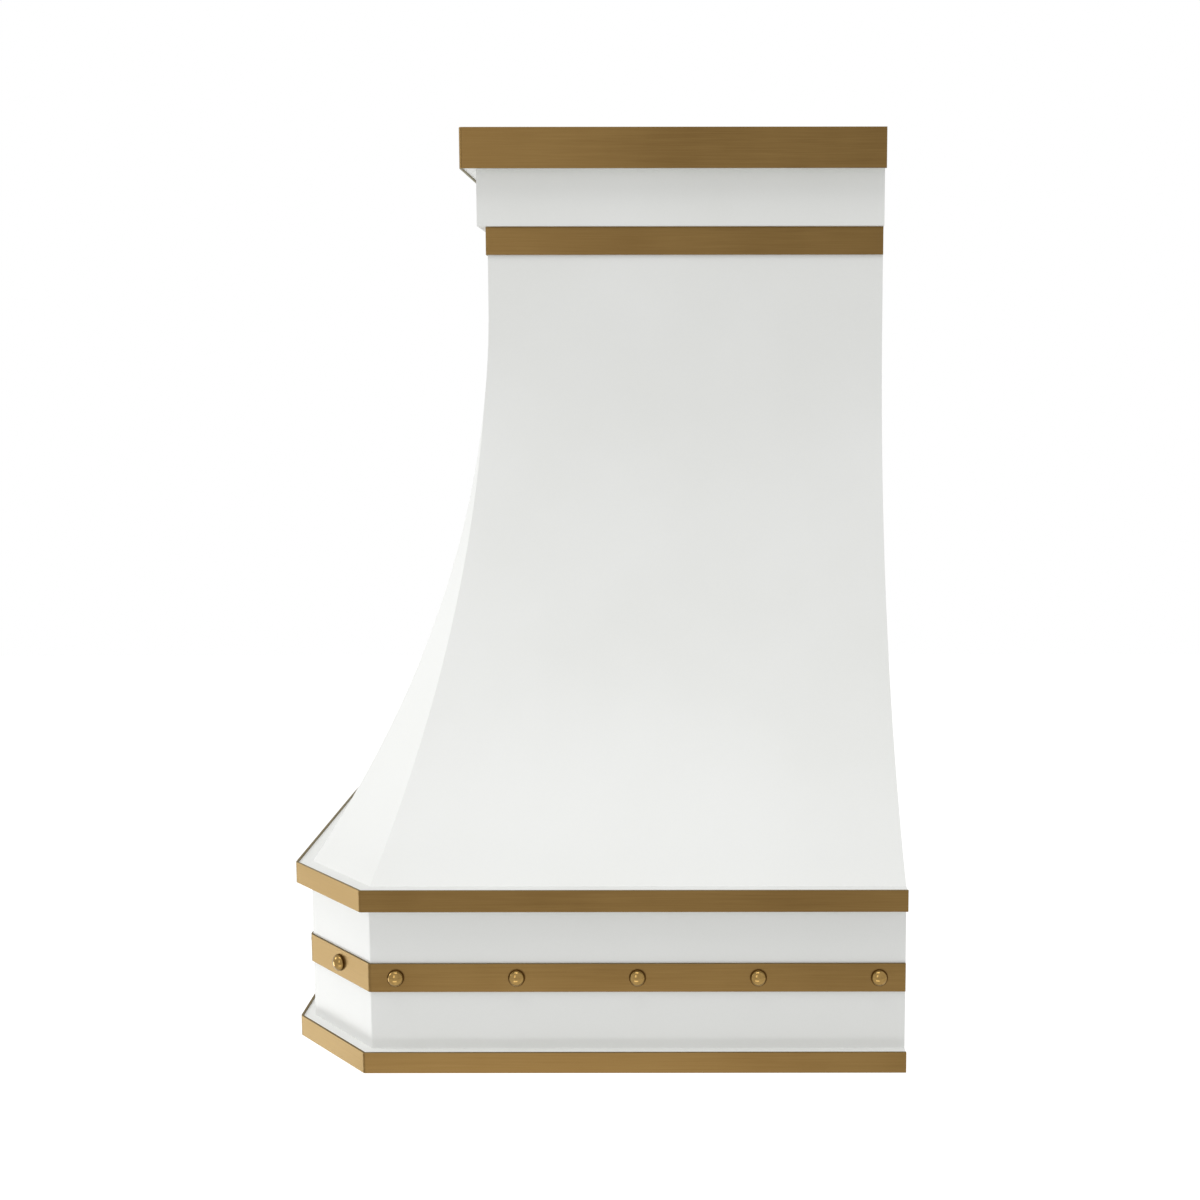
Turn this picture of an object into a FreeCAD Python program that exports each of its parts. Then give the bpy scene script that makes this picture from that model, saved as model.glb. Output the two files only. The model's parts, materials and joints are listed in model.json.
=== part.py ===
# Wall-hung range hood: a flared canopy over a chamfered skirt with brass straps,
# and the liner, filters, blower, damper, lamps and switches that it holds.
# Millimetres. +X right, +Y towards the wall (the wall is y = 0), +Z up from the lowest edge.
import FreeCAD, Part
import itertools
import math
import os

V = FreeCAD.Vector

# Overall sizes
hood_width = 914.4
hood_depth = 595.7
hood_height = 914.4
corner_chamfer = 82.0

# Bands of the lower half, measured up from the bottom
bottom_trim_height = 20.0
strap_z = 75.0
strap_height = 27.5
upper_trim_z = 157.5
upper_trim_height = 20.7

# Bands of the upper half, measured down from the top
crown_band_height = 42.0
frieze_height = 57.5
neck_strap_height = 29.3

# Plan sizes and steps between the bands
crown_width = 484.0
crown_depth = 444.5
frieze_inset = 15.4
neck_step = 9.7
canopy_ledge = 15.6
skirt_inset = 13.8
rim_setback = 1.0

# Straight wall below the neck strap before each face of the canopy starts to flare
side_straight = 80.0
front_straight = 50.0
corner_straight = 60.0
corner_clear = 0.7

# Sheet and strip
sheet = 1.5
brass = 2.0
brass_lip = 1.5
trim_bend = 4.0
skirt_bend = 3.0
rear_flange = 20.0
shelf_flange = 36.0
rim_return = 36.0
crown_flange = 25.0
lap = 12.0

# Rivets on the skirt strap
rivet_radius = 8.2
rivet_height = 6.5
rivet_end_gap = 25.0
side_rivets = 5
front_rivets = 7

# Rails that hang the hood on the wall
rail_height = 50.0
rail_flange = 16.0
rail_tab = 18.0
screw_spacing = 406.4
screw_hole_radius = 3.5

# Liner pan in the bottom opening
liner_sheet = 1.2
liner_lap = 15.0
liner_back = 20.0
recess_side = 72.0
recess_front = 61.0
recess_back = 52.0
recess_taper = 10.0
recess_depth = 60.0
control_strip = 85.0
opening_margin = 13.0
filter_ledge = 21.5

# Baffle filters and their bail handles
filter_count = 3
filter_gap = 2.5
filter_height = 18.0
frame_sheet = 1.0
frame_flange = 12.0
hook_width = 30.0
hook_length = 8.0
baffle_width = 28.0
baffle_pitch = 38.0
baffle_height = 9.0
wire_radius = 2.5
bail_half_width = 30.0
bail_drop = 24.0
bail_bend = 6.0
lug_thickness = 2.0
lug_drop = 5.5
lug_radius = 5.5
lug_setback = 9.0
clip_width = 24.0
clip_height = 12.0
clip_lift = 3.0

# Clearances
seat_gap = 0.3
pivot_gap = 0.3
shaft_gap = 0.1
slip_gap = 0.3

# Plenum, blower box and blower
plenum_sheet = 1.0
plenum_height = 70.0
plenum_margin = 4.0
box_half_width = 190.0
box_margin = 12.0
box_flange = 14.0
rib_radius = 5.0
rib_margin = 45.0
wall_ribs = 3
end_ribs = 2
duct_from_wall = 210.0
wheel_radius = 85.0
wheel_half_width = 80.0
blade_count = 30
blade_depth = 15.0
blade_sheet = 1.2
blade_lean = 25.0
blade_bow = 4.5
ring_width = 3.0
cutoff_gap = 7.0
volute_step = 12.0
tongue_angle = 50.0
scroll_sheet = 1.2
scroll_side_gap = 8.0
inlet_radius = 62.0
inlet_lip = 8.0
shaft_radius = 5.0
hub_radius = 14.0
hub_half_length = 16.0
hub_flange_radius = 24.0
hub_flange = 3.0
motor_radius = 46.0
motor_length = 70.0
motor_gap = 10.0
motor_round = 8.0
motor_boss_radius = 16.0
motor_boss = 5.0
bracket_sheet = 2.5
bracket_band = 16.0
bracket_arm_width = 14.0
bracket_foot = 14.0

# Duct collar, butterfly damper and duct
collar_radius = 100.0
collar_sheet = 1.0
collar_height = 70.0
collar_flange = 12.0
damper_height = 25.0
damper_sheet = 0.8
damper_gap = 1.5
damper_pin_radius = 2.0
knuckle_radius = 3.5
knuckle_length = 30.0
knuckle_space = 5.0
seal_height = 3.0
seal_width = 6.0
pipe_sheet = 0.8
pipe_lap = 30.0
pipe_drop = 12.0
spigot_length = 60.0
spigot_step = 1.5
spigot_taper = 6.0
bead_gap = 12.0
bead_width = 8.0
bead_height = 2.0
seam_width = 9.0
clamp_height = 12.0
clamp_sheet = 1.2
clamp_lug = 12.0
clamp_bolt_radius = 2.0
clamp_head_radius = 4.0
clamp_head = 3.0

# Lamps
lamp_spread = 640.0
lamp_radius = 28.0
bezel_width = 8.0
bezel_height = 4.0
lens_height = 2.5
can_height = 34.0
can_fins = 4

# Push buttons
button_names = ["power", "speed_low", "speed_mid", "speed_high", "lamp"]
button_pitch = 26.0
button_radius = 6.0
button_reach = 5.0
button_collar = 2.0
button_collar_height = 1.5
button_travel = 2.0
button_round = 1.0
panel_sheet = 1.5
panel_length = 160.0
panel_width = 40.0
panel_corner = 5.0
block_wall = 3.0
block_height = 26.0

# Wiring box on the plenum
wiring_length = 100.0
wiring_width = 80.0
wiring_height = 45.0
wiring_sheet = 1.0
wiring_end_gap = 20.0
wiring_from_wall = 160.0
bushing_bore = 8.0
bushing_wall = 3.0
bushing_length = 12.0
bushing_flange = 3.0

# Levels and places that follow from the sizes above
rim_ledge_z = bottom_trim_height - brass_lip
shelf_soffit_z = upper_trim_z + brass_lip
shelf_ledge_z = upper_trim_z + upper_trim_height - brass_lip
crown_z = hood_height - crown_band_height
crown_soffit_z = crown_z + brass_lip
crown_top_z = hood_height - brass_lip
frieze_z = crown_z - frieze_height
neck_z = frieze_z - neck_strap_height
neck_inset = frieze_inset + neck_step
half_width = hood_width / 2
far = 2 * (hood_width + hood_depth)

recess_half = half_width - recess_side
recess_front_y = recess_front - hood_depth
deck_half = recess_half - recess_taper
deck_front_y = recess_front_y + recess_taper
deck_back_y = -recess_back - recess_taper
deck_z = recess_depth
deck_top = deck_z + liner_sheet

filter_back_y = deck_back_y - filter_ledge
filter_front_y = deck_front_y + control_strip
opening_half = deck_half - opening_margin
opening_back_y = filter_back_y + seat_gap
opening_front_y = filter_front_y - filter_gap
filter_pitch = (2 * opening_half - filter_gap) / filter_count
filter_width = filter_pitch - filter_gap
filter_z = deck_top + seat_gap
filter_top = filter_z + filter_height
bail_y = filter_front_y + lug_setback
bail_z = filter_z - lug_drop

plenum_half = opening_half + plenum_margin
plenum_front_y = opening_front_y - plenum_margin
plenum_back_y = filter_back_y + hook_length + plenum_margin
plenum_top = deck_top + plenum_height

volute_half = volute_step / 2
tongue_radius = wheel_radius + cutoff_gap
outlet_radius = tongue_radius + 3 * volute_step
outlet_outer = volute_half + outlet_radius
outlet_inner = tongue_radius * math.cos(math.radians(tongue_angle)) - volute_half
duct_y = -duct_from_wall
fan_y = duct_y - (outlet_outer + outlet_inner) / 2
scroll_below = volute_half + tongue_radius + 2 * volute_step
scroll_ahead = volute_half + tongue_radius + volute_step
fan_z = plenum_top + scroll_below + box_margin
box_top = fan_z + tongue_radius + volute_half + box_margin
box_front_y = fan_y - scroll_ahead - box_margin
box_back_y = duct_y + collar_radius + collar_flange
scroll_half = wheel_half_width + scroll_side_gap
scroll_outer = scroll_half + scroll_sheet
motor_front_x = -scroll_outer - motor_gap

collar_z = box_top + plenum_sheet
damper_z = collar_z + damper_height
pipe_z = collar_z + collar_height - pipe_lap
pipe_inner = collar_radius + slip_gap
pipe_outer = pipe_inner + pipe_sheet
pipe_top = hood_height - pipe_drop
spigot_outer = pipe_outer - spigot_step
spigot_inner = spigot_outer - pipe_sheet
strip_y = (deck_front_y + filter_front_y) / 2
panel_z = deck_z - panel_sheet
wiring_x = plenum_half - wiring_end_gap - wiring_length
wiring_y = -wiring_from_wall - wiring_width


def segment(start, end):
    return Part.LineSegment(start, end).toShape()


def arc(start, middle, end):
    return Part.Arc(start, middle, end).toShape()


def block(x0, x1, y0, y1, z0, z1):
    return Part.makeBox(x1 - x0, y1 - y0, z1 - z0, V(x0, y0, z0))


def disc(radius, x, y, z, height):
    return Part.makeCylinder(radius, height, V(x, y, z))


def rod(radius, x0, x1, y, z):
    return Part.makeCylinder(radius, x1 - x0, V(x0, y, z), V(1, 0, 0))


def plate(edges, depth):
    return Part.Face(Part.Wire(edges)).extrude(depth)


def polygon(points):
    closed = points + [points[0]]
    return [segment(start, end) for start, end in zip(closed, closed[1:])]


def joined(first, *others):
    return first.fuse(list(others)).removeSplitter()


def spread(start, end, count):
    step = (end - start) / (count - 1)
    return [start + step * number for number in range(count)]


def bent_path(points, *radii):
    """Edges along the points, with the inner corners bent to the radii in turn."""
    edges = []
    start = points[0]
    for before, corner, after, radius in zip(points, points[1:], points[2:], itertools.cycle(radii)):
        if radius <= 0:
            edges.append(segment(start, corner))
            start = corner
            continue
        back = (before - corner).normalize()
        ahead = (after - corner).normalize()
        half_angle = back.getAngle(ahead) / 2
        inward = (back + ahead).normalize()
        first = corner + back * (radius / math.tan(half_angle))
        last = corner + ahead * (radius / math.tan(half_angle))
        middle = corner + inward * (radius / math.sin(half_angle) - radius)
        edges += [segment(start, first), arc(first, middle, last)]
        start = last
    return edges + [segment(start, points[-1])]


# Plan outlines, from the wall round the front and back to the wall
def skirt_line(inset, z):
    side = half_width - inset
    front = inset - hood_depth
    leg = corner_chamfer - inset * (2 - math.sqrt(2))
    return [V(-side, 0, z), V(-side, front + leg, z), V(leg - side, front, z),
            V(side - leg, front, z), V(side, front + leg, z), V(side, 0, z)]


def crown_line(inset, z):
    side = crown_width / 2 - inset
    front = inset - crown_depth
    return [V(-side, 0, z), V(-side, front, z), V(side, front, z), V(side, 0, z)]


def wrap(line, inset, thickness, z, height, bend=0.0):
    """A strip that follows a plan outline, open at the wall."""
    outer = line(inset, z)
    inner = line(inset + thickness, z)
    edges = bent_path(outer, bend) + [segment(outer[-1], inner[-1])]
    edges += bent_path(inner[::-1], bend - thickness) + [segment(inner[0], outer[0])]
    return plate(edges, V(0, 0, height))


def channel(line, inset, z, top, lower, upper, bend):
    """A folded channel on a plan outline: a wall with a lower and an upper flange turned inwards."""
    wall = wrap(line, inset, sheet, z, top - z, bend)
    floor = wrap(line, inset, lower, z, sheet, bend)
    roof = wrap(line, inset, upper, top - sheet, sheet, bend)
    return joined(wall, floor, roof)


# The flared canopy: flat sheets rolled to one arc each and mitred where they meet
def flare_block(out, top, foot, straight, inset, over, back):
    """All that lies inside one face of the canopy; the wall line is an arc, then straight."""
    tangent_z = neck_z - straight
    rise = tangent_z - shelf_ledge_z
    radius = ((foot - top) ** 2 + rise ** 2) / (2 * (foot - top))
    low = shelf_ledge_z - over
    high = frieze_z + over

    def wall(z):
        reach = top + radius - math.sqrt((radius + inset) ** 2 - (tangent_z - z) ** 2)
        return out * reach + V(0, 0, z)

    corners = [wall(tangent_z), out * (top - inset) + V(0, 0, high),
               out * back + V(0, 0, high), out * back + V(0, 0, low), wall(low)]
    edges = [segment(start, end) for start, end in zip(corners, corners[1:])]
    edges.append(arc(wall(low), wall((low + tangent_z) / 2), wall(tangent_z)))
    run = V(0, 0, 1).cross(out)
    face = Part.Face(Part.Wire(edges))
    face.translate(run * -far)
    return face.extrude(run * (2 * far))


def canopy_body(inset, over, back):
    side_top = crown_width / 2 - neck_inset
    side_foot = half_width - canopy_ledge
    front_top = crown_depth - neck_inset
    front_foot = hood_depth - canopy_ledge
    leg = corner_chamfer - canopy_ledge * (2 - math.sqrt(2))
    corner_top = (side_top + front_top) / math.sqrt(2) + corner_clear
    corner_foot = (side_foot + front_foot - leg) / math.sqrt(2)
    body = flare_block(V(0, -1, 0), front_top, front_foot, front_straight, inset, over, back)
    for turn in (-1, 1):
        corner = V(turn, -1, 0).normalize()
        side = V(turn, 0, 0)
        body = body.common(flare_block(side, side_top, side_foot, side_straight, inset, over, -far))
        body = body.common(flare_block(corner, corner_top, corner_foot, corner_straight, inset, over, -far))
    return body


def canopy():
    outside = canopy_body(0, 0, 0)
    cavity = canopy_body(sheet, sheet, sheet)
    doorway = canopy_body(rear_flange, sheet, -sheet)
    return outside.cut(cavity).cut(doorway)


# Straps, ledges and crown round the canopy
def rivets():
    dome = (rivet_radius ** 2 + rivet_height ** 2) / (2 * rivet_height)
    base_angle = math.degrees(math.asin((dome - rivet_height) / dome))
    strap = skirt_line(skirt_inset - brass, strap_z + strap_height / 2)
    counts = [side_rivets, 1, front_rivets, 1, side_rivets]
    heads = []
    for start, end, count in zip(strap, strap[1:], counts):
        along = end - start
        length = along.Length
        along.normalize()
        out = along.cross(V(0, 0, 1))
        spots = [length / 2] if count == 1 else spread(rivet_end_gap, length - rivet_end_gap, count)
        for spot in spots:
            centre = start + along * spot + out * (rivet_height - dome)
            heads.append(Part.makeSphere(dome, centre, out, base_angle, 90, 360))
    return Part.makeCompound(heads)


def wall_rail(half_length, z, floor_depth):
    """A folded channel between the side walls, with end tabs and two screw holes in its web."""
    top = z + rail_height
    web = block(-half_length, half_length, -sheet, 0, z, top)
    floor = block(-half_length, half_length, -floor_depth, 0, z, z + sheet)
    roof = block(-half_length, half_length, -rail_flange, 0, top - sheet, top)
    left = block(-half_length, sheet - half_length, -rail_tab, 0, z, top)
    right = block(half_length - sheet, half_length, -rail_tab, 0, z, top)
    rail = joined(web, floor, roof, left, right)
    for x in (-screw_spacing / 2, screw_spacing / 2):
        start = V(x, -sheet, z + rail_height / 2)
        rail = rail.cut(Part.makeCylinder(screw_hole_radius, sheet, start, V(0, 1, 0)))
    return rail


# Liner, filters and what holds them
def rectangle(half, front, back, z):
    return [V(-half, front, z), V(half, front, z), V(half, back, z), V(-half, back, z)]


def taper_block(shrink, low, high):
    foot = rectangle(recess_half - shrink, recess_front_y + shrink, -recess_back - shrink, low)
    head = rectangle(deck_half - shrink, deck_front_y + shrink, deck_back_y - shrink, high)
    wires = [Part.Wire(polygon(foot)), Part.Wire(polygon(head))]
    return Part.makeLoft(wires, True, True)


def lamp_places():
    return [-lamp_spread / 2, lamp_spread / 2]


def button_places():
    end = button_pitch * (len(button_names) - 1) / 2
    return spread(-end, end, len(button_names))


def liner_pan():
    """Flange on the rim, tapered walls, and a deck with the filter opening, lamp holes and button slot."""
    edge = skirt_line(rim_setback + brass + rim_return - liner_lap, sheet)
    edge[0].y = -liner_back
    edge[-1].y = -liner_back
    flange = plate(polygon(edge), V(0, 0, liner_sheet))
    pan = joined(flange, taper_block(0, sheet, deck_top))
    pan = pan.cut(taper_block(liner_sheet, sheet, deck_z))
    pan = pan.cut(block(-opening_half, opening_half, opening_front_y, opening_back_y, deck_z, deck_top))
    for x in lamp_places():
        pan = pan.cut(disc(lamp_radius, x, strip_y, deck_z, liner_sheet))
    slot_half = button_places()[-1] + button_radius + button_collar + block_wall
    slot_side = button_radius + button_collar + block_wall
    return pan.cut(block(-slot_half, slot_half, strip_y - slot_side, strip_y + slot_side, deck_z, deck_top))


def filter_places():
    end = filter_pitch * (filter_count - 1) / 2
    return spread(-end, end, filter_count)


def filter_frame(x):
    """A perimeter channel open inwards, with hooks over the liner's rear ledge and lugs for the bail."""
    left = x - filter_width / 2
    right = x + filter_width / 2
    body = block(left, right, filter_front_y, filter_back_y, filter_z, filter_top)
    body = body.cut(block(left + frame_sheet, right - frame_sheet, filter_front_y + frame_sheet,
                          filter_back_y - frame_sheet, filter_z + frame_sheet, filter_top - frame_sheet))
    body = body.cut(block(left + frame_flange, right - frame_flange, filter_front_y + frame_flange,
                          filter_back_y - frame_flange, filter_z, filter_top))
    extras = []
    for hook_x in (left + hook_width, right - hook_width):
        extras.append(block(hook_x - hook_width / 2, hook_x + hook_width / 2, filter_back_y - frame_sheet,
                            filter_back_y + hook_length, filter_z, filter_z + frame_sheet))
    for lug_x in lug_places(x):
        extras.append(bail_lug(lug_x))
    return joined(body, *extras)


def lug_places(x):
    reach = bail_half_width + wire_radius + lug_thickness
    return [x - reach - lug_thickness, x + reach]


def bail_lug(x):
    top = filter_z + frame_sheet
    side = V(0, lug_radius, 0)
    centre = V(x, bail_y, bail_z)
    head = V(x, bail_y, top)
    edges = [segment(centre + side, head + side), segment(head + side, head - side),
             segment(head - side, centre - side),
             arc(centre - side, centre - V(0, 0, lug_radius), centre + side)]
    hole = rod(wire_radius + pivot_gap, x, x + lug_thickness, bail_y, bail_z)
    return plate(edges, V(lug_thickness, 0, 0)).cut(hole)


def filter_baffles(x):
    """Two rows of channels that face each other and interlock, so that grease meets metal twice."""
    front = filter_front_y + frame_sheet
    length = filter_back_y - filter_front_y - 2 * frame_sheet
    count = int((filter_width - 2 * frame_sheet - baffle_width) // baffle_pitch) + 1
    row_start = x - baffle_pitch * (count - 1) / 2
    channels = []
    for number in range(count):
        channels.append(baffle(row_start + baffle_pitch * number, front, length, filter_z + frame_sheet, 1))
    for number in range(count - 1):
        middle = row_start + baffle_pitch * (number + 0.5)
        channels.append(baffle(middle, front, length, filter_top - frame_sheet, -1))
    return Part.makeCompound(channels)


def baffle(x, front, length, base, up):
    outer = baffle_width / 2
    inner = outer - frame_sheet
    floor = base + up * frame_sheet
    tip = base + up * baffle_height
    outline = [(-outer, base), (outer, base), (outer, tip), (inner, tip),
               (inner, floor), (-inner, floor), (-inner, tip), (-outer, tip)]
    points = [V(x + across, front, z) for across, z in outline]
    return plate(polygon(points), V(0, length, 0))


def filter_bail(x):
    """Bent wire: two stubs in the lugs, two legs and a grip."""
    end = bail_half_width + wire_radius + 3 * lug_thickness
    low = bail_z - bail_drop
    route = [V(x - end, bail_y, bail_z), V(x - bail_half_width, bail_y, bail_z),
             V(x - bail_half_width, bail_y, low), V(x + bail_half_width, bail_y, low),
             V(x + bail_half_width, bail_y, bail_z), V(x + end, bail_y, bail_z)]
    stub_bend = wire_radius + lug_thickness / 2
    path = Part.Wire(bent_path(route, stub_bend, bail_bend, bail_bend, stub_bend))
    section = Part.Wire(Part.makeCircle(wire_radius, route[0], V(1, 0, 0)))
    return path.makePipeShell([section], True, False)


def filter_clips():
    """One sprung leaf on the plenum's front wall behind each filter's front edge."""
    wall_y = plenum_front_y + plenum_sheet
    touch_y = filter_front_y - seat_gap
    low = filter_z + clip_lift
    clips = []
    for x in filter_places():
        outline = [V(x, wall_y, low), V(x, touch_y, low), V(x, touch_y, low + frame_sheet),
                   V(x, wall_y + frame_sheet, low + clip_height / 2),
                   V(x, wall_y + frame_sheet, low + clip_height), V(x, wall_y, low + clip_height)]
        leaf = plate(polygon(outline), V(clip_width, 0, 0))
        leaf.translate(V(-clip_width / 2, 0, 0))
        clips.append(leaf)
    return Part.makeCompound(clips)


# Plenum, blower box and blower
def open_box(half, front, back, low, high):
    shell = block(-half, half, front, back, low, high)
    return shell.cut(block(plenum_sheet - half, half - plenum_sheet, front + plenum_sheet,
                           back - plenum_sheet, low, high - plenum_sheet))


def plenum():
    body = open_box(plenum_half, plenum_front_y, plenum_back_y, deck_top, plenum_top)
    half = box_half_width - box_margin
    return body.cut(block(-half, half, box_front_y + box_margin, box_back_y - box_margin,
                          plenum_top - plenum_sheet, plenum_top))


def rib_feet():
    """Where the ribs of the blower box start, on the outside of its walls."""
    low = plenum_top + rib_margin
    across = spread(rib_margin - box_half_width, box_half_width - rib_margin, wall_ribs)
    along = spread(box_front_y + rib_margin, box_back_y - rib_margin, end_ribs)
    feet = [V(x, y, low) for y in (box_front_y, box_back_y) for x in across]
    return feet + [V(x, y, low) for x in (-box_half_width, box_half_width) for y in along]


def blower_box():
    """Folded box with a foot flange, ribs pressed out of its walls and the scroll's outlet in its roof."""
    shell = [block(-box_half_width, box_half_width, box_front_y, box_back_y, plenum_top, collar_z),
             block(-box_half_width - box_flange, box_half_width + box_flange, box_front_y - box_flange,
                   box_back_y + box_flange, plenum_top, plenum_top + plenum_sheet)]
    hollow = [block(plenum_sheet - box_half_width, box_half_width - plenum_sheet, box_front_y + plenum_sheet,
                    box_back_y - plenum_sheet, plenum_top, box_top),
              block(-scroll_half, scroll_half, fan_y + outlet_inner, fan_y + outlet_outer, box_top, collar_z)]
    length = box_top - plenum_top - 2 * rib_margin
    for foot in rib_feet():
        shell.append(Part.makeCylinder(rib_radius, length, foot))
        hollow.append(Part.makeCylinder(rib_radius - plenum_sheet, length - 2 * plenum_sheet,
                                        foot + V(0, 0, plenum_sheet)))
    return joined(*shell).cut(hollow)


def around_fan(x, across, up):
    return V(x, fan_y + across, fan_z + up)


def fan_rod(radius, x0, x1):
    return rod(radius, x0, x1, fan_y, fan_z)


def volute_path(x, extra, tongue_across):
    """Four arcs struck from the corners of a small square, between the two straight outlet walls."""
    start = math.degrees(math.acos((tongue_across + volute_half) / (tongue_radius + extra)))
    corners = [(-1, 1, start), (-1, -1, 90), (1, -1, 180), (1, 1, 270)]
    edges = []
    for number, (across, up, angle) in enumerate(corners):
        radius = tongue_radius + number * volute_step + extra
        stops = [angle, (angle + 90 * (number + 1)) / 2, 90 * (number + 1)]
        points = [around_fan(x, across * volute_half + radius * math.cos(math.radians(stop)),
                             up * volute_half + radius * math.sin(math.radians(stop))) for stop in stops]
        edges.append(arc(*points))
    first = edges[0].valueAt(edges[0].FirstParameter)
    last = edges[-1].valueAt(edges[-1].LastParameter)
    ends = [V(first.x, first.y, box_top), V(last.x, last.y, box_top)]
    return [segment(ends[0], first)] + edges + [segment(last, ends[1])], ends


def scroll_wrap():
    inner, inner_ends = volute_path(-scroll_half, 0, outlet_inner)
    outer, outer_ends = volute_path(-scroll_half, scroll_sheet, outlet_inner - scroll_sheet)
    mouths = [segment(start, end) for start, end in zip(inner_ends, outer_ends)]
    edges = inner + outer + mouths
    return plate(Part.__sortEdges__(edges), V(2 * scroll_half, 0, 0))


def scroll_side(side):
    """Flat cheek of the scroll with the inlet drawn inwards as a bell mouth."""
    x = side * scroll_half
    edges, ends = volute_path(x, scroll_sheet, outlet_inner - scroll_sheet)
    cheek = plate(edges + [segment(ends[1], ends[0])], V(side * scroll_sheet, 0, 0))
    mouth = inlet_radius + inlet_lip
    cheek = cheek.cut(fan_rod(mouth, -scroll_outer, scroll_outer))
    bend = math.sqrt(0.5)
    lip = []
    for radius in (inlet_lip, inlet_lip + scroll_sheet):
        lip.append([(0, mouth - radius), (radius * bend, mouth - radius * bend), (radius, mouth)])
    inside, outside = [[around_fan(side * (scroll_outer - inlet_lip - scroll_sheet + along), 0, up)
                        for along, up in points] for points in lip]
    profile = [arc(*inside), segment(inside[2], outside[2]), arc(*outside), segment(outside[0], inside[0])]
    bell = Part.Face(Part.Wire(Part.__sortEdges__(profile))).revolve(around_fan(0, 0, 0), V(1, 0, 0), 360)
    return joined(cheek, bell)


def impeller_wheel():
    """Squirrel cage: forward-curved blades between two end rings, carried by a centre disc."""
    inner = wheel_radius - blade_depth
    lean = math.radians(blade_lean)

    def on_wheel(radius, angle):
        return around_fan(-wheel_half_width, radius * math.cos(angle), radius * math.sin(angle))

    outer_turn = lean * blade_depth / inner
    spread_inner = blade_sheet / inner
    spread_outer = blade_sheet / wheel_radius
    middle_radius = wheel_radius - blade_depth / 2
    middle_turn = outer_turn / 2 - blade_bow / middle_radius
    first = [on_wheel(inner, 0), on_wheel(middle_radius, middle_turn), on_wheel(wheel_radius, outer_turn)]
    second = [on_wheel(inner, spread_inner), on_wheel(middle_radius, middle_turn + spread_inner),
              on_wheel(wheel_radius, outer_turn + spread_outer)]
    edges = [arc(*first), segment(first[2], second[2]), arc(*second), segment(second[0], first[0])]
    blade = plate(Part.__sortEdges__(edges), V(2 * wheel_half_width, 0, 0))
    solids = []
    for number in range(blade_count):
        copy = blade.copy()
        copy.rotate(around_fan(0, 0, 0), V(1, 0, 0), 360 / blade_count * number)
        solids.append(copy)
    for x in (-wheel_half_width, wheel_half_width - ring_width):
        ring = fan_rod(wheel_radius, x, x + ring_width)
        solids.append(ring.cut(fan_rod(inner, x, x + ring_width)))
    half_disc = ring_width / 2
    centre = fan_rod(inner + blade_depth / 2, -half_disc, half_disc)
    solids.append(centre.cut(fan_rod(hub_radius + shaft_gap, -half_disc, half_disc)))
    return joined(*solids)


def impeller_hub():
    half_disc = ring_width / 2
    hub = fan_rod(hub_radius, -hub_half_length, hub_half_length)
    flange = fan_rod(hub_flange_radius, half_disc, half_disc + hub_flange)
    return joined(hub, flange).cut(fan_rod(shaft_radius + shaft_gap, -hub_half_length, hub_half_length))


def motor():
    """Closed motor can with rounded ends, a bearing boss in front and a bore for the shaft."""
    back = motor_front_x - motor_length
    can = fan_rod(motor_radius, back, motor_front_x)
    rims = [edge for edge in can.Edges if edge.Closed]
    can = can.makeFillet(motor_round, rims)
    boss_end = motor_front_x + motor_boss
    can = joined(can, fan_rod(motor_boss_radius, motor_front_x - motor_round, boss_end))
    return can.cut(fan_rod(shaft_radius + shaft_gap, back + motor_length / 2, boss_end))


def motor_bracket():
    """A band round the motor and three bent arms to the scroll's cheek."""
    band_x = motor_front_x - motor_length / 2
    inner = motor_radius + shaft_gap
    outer = inner + bracket_sheet
    band = fan_rod(outer, band_x - bracket_band / 2, band_x + bracket_band / 2)
    band = band.cut(fan_rod(inner, band_x - bracket_band / 2, band_x + bracket_band / 2))
    foot = inlet_radius + inlet_lip + bracket_sheet
    cheek = -scroll_outer
    outline = [(cheek, foot + bracket_foot), (cheek, foot), (band_x + bracket_band / 2, inner + shaft_gap),
               (band_x, inner + shaft_gap), (band_x, outer), (band_x + bracket_band / 2, outer),
               (cheek - bracket_sheet, foot + bracket_sheet), (cheek - bracket_sheet, foot + bracket_foot)]
    points = [around_fan(x, -bracket_arm_width / 2, up) for x, up in outline]
    arm = plate(polygon(points), V(0, bracket_arm_width, 0))
    arms = []
    for number in range(3):
        copy = arm.copy()
        copy.rotate(around_fan(0, 0, 0), V(1, 0, 0), 120 * number)
        arms.append(copy)
    return joined(band, *arms).cut(fan_rod(inner, band_x - bracket_band, cheek))


# Duct collar, damper and duct
def tube(outer, inner, z, height):
    return disc(outer, 0, duct_y, z, height).cut(disc(inner, 0, duct_y, z, height))


def duct_collar():
    half = collar_radius + collar_flange
    inner = collar_radius - collar_sheet
    base = block(-half, half, duct_y - half, duct_y + half, collar_z, collar_z + collar_sheet)
    base = base.cut(disc(inner, 0, duct_y, collar_z, collar_sheet))
    collar = joined(base, tube(collar_radius, inner, collar_z, collar_height))
    return collar.cut(rod(damper_pin_radius + shaft_gap, -collar_radius, collar_radius, duct_y, damper_z))


def damper_pin():
    reach = collar_radius - shaft_gap
    return rod(damper_pin_radius, -reach, reach, duct_y, damper_z)


def damper_seal():
    outer = collar_radius - collar_sheet - shaft_gap
    top = damper_z - damper_sheet / 2 - seat_gap
    ring = tube(outer, outer - seal_width, top - seal_height, seal_height)
    return ring.cut(rod(damper_pin_radius + pivot_gap, -outer, outer, duct_y, damper_z))


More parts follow.
